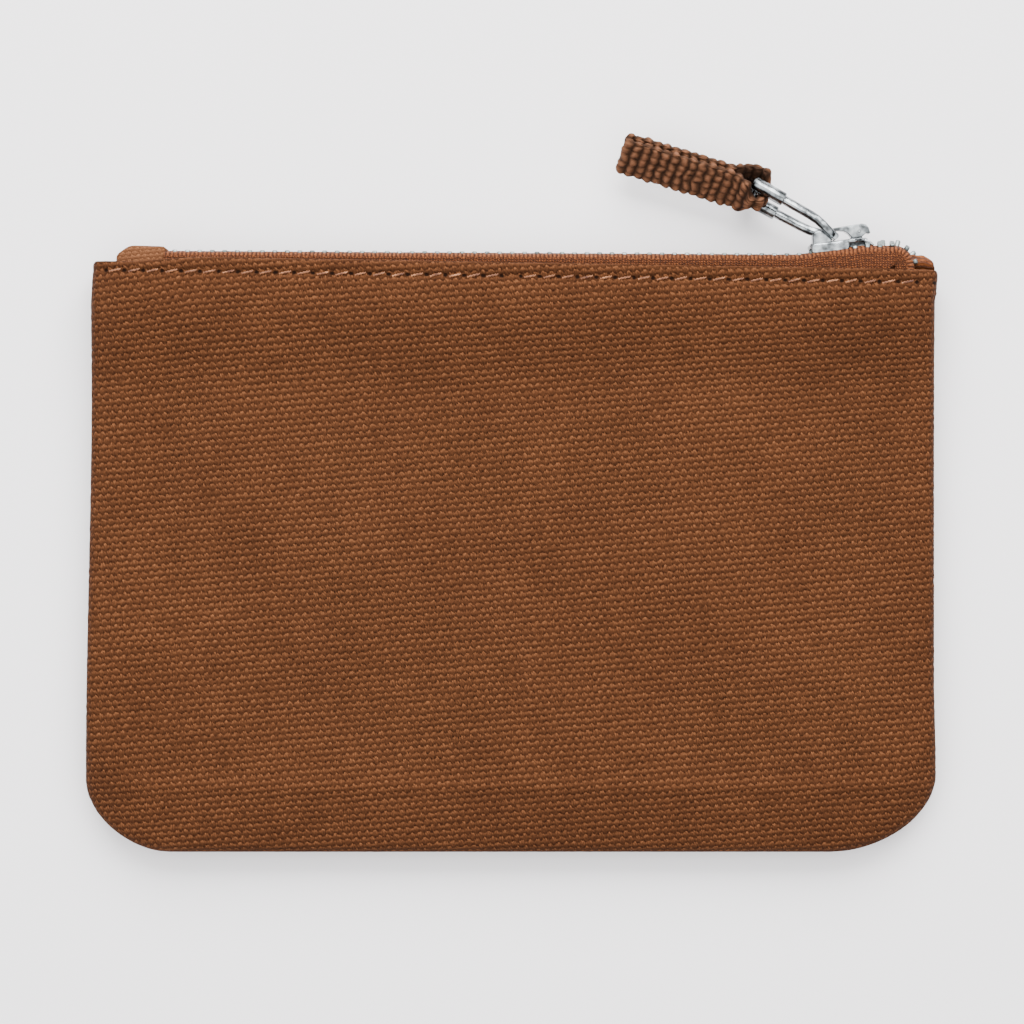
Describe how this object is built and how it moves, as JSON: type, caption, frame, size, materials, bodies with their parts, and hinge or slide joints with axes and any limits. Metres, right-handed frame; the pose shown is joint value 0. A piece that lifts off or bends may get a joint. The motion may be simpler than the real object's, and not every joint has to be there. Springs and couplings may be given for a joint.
{
  "type": "zippered pouch",
  "caption": "Flat canvas pouch with rounded lower corners, a metal zip along the top edge and a webbing loop on the zip pull.",
  "frame": {"origin": "middle of the back panel's outer face, where the pouch rests when it lies flat", "axes": "+X along the zip towards its closed end, +Y from the bottom seam to the zip, +Z out of the front panel"},
  "size_m": [0.1448, 0.1219, 0.0125],
  "materials": {
    "canvas": "plain-weave cotton canvas, matt, brown",
    "zip_tape": "woven polyester zip tape, slightly orange brown",
    "thread": "twisted sewing thread, light orange brown",
    "nickel": "nickel-plated metal, bright",
    "webbing": "ribbed narrow cotton webbing, dark brown"
  },
  "bodies": {
    "back_half": {"back_panel": "canvas", "back_tape": "zip_tape", "back_teeth": "nickel", "back_topstitch": "thread", "back_end_tooth_1": "nickel", "back_end_tooth_2": "nickel", "back_end_tooth_3": "nickel", "back_end_tooth_4": "nickel", "back_end_tooth_5": "nickel", "back_end_tooth_6": "nickel", "back_top_stop": "nickel", "seam_allowance": "canvas", "end_tab": "canvas"},
    "front_half": {"front_panel": "canvas", "front_tape": "zip_tape", "front_teeth": "nickel", "front_topstitch": "thread", "front_end_tooth_1": "nickel", "front_end_tooth_2": "nickel", "front_end_tooth_3": "nickel", "front_end_tooth_4": "nickel", "front_end_tooth_5": "nickel", "front_end_tooth_6": "nickel", "front_top_stop": "nickel"},
    "slider": {"slider_body": "nickel", "slider_crown": "nickel", "lock_spring": "nickel"},
    "pull": {"pull_frame": "nickel"},
    "pull_tab": {"pull_webbing": "webbing"}
  },
  "joints": [
    {"name": "slider_slide", "type": "slide", "parent": "back_half", "child": "slider", "axis": [1, 0, 0], "range_m": [-0.109, 0], "deforming": ["back_tape", "back_teeth", "front_tape", "front_teeth", "back_end_tooth_1", "back_end_tooth_2", "back_end_tooth_3", "back_end_tooth_4", "back_end_tooth_5", "back_end_tooth_6", "front_end_tooth_1", "front_end_tooth_2", "front_end_tooth_3", "front_end_tooth_4", "front_end_tooth_5", "front_end_tooth_6", "back_top_stop", "front_top_stop"]},
    {"name": "mouth_open", "type": "hinge", "parent": "back_half", "child": "front_half", "pos_m": [0, -0.049, 0.005], "axis": [1, 0, 0], "range_deg": [0, 11]},
    {"name": "pull_swing", "type": "hinge", "parent": "slider", "child": "pull", "pos_m": [0.0553, 0.05495, 0.0063], "axis": [0, 0, 1], "range_deg": [-130, 10]},
    {"name": "webbing_swing", "type": "hinge", "parent": "pull", "child": "pull_tab", "pos_m": [0.04153, 0.06249, 0.0063], "axis": [0.2545, 0.4648, 0.848], "range_deg": [-12, 20]}
  ],
  "couplings": [
    {"joint": "mouth_open", "follows": "slider_slide", "rad_per_m": -1.76}
  ]
}
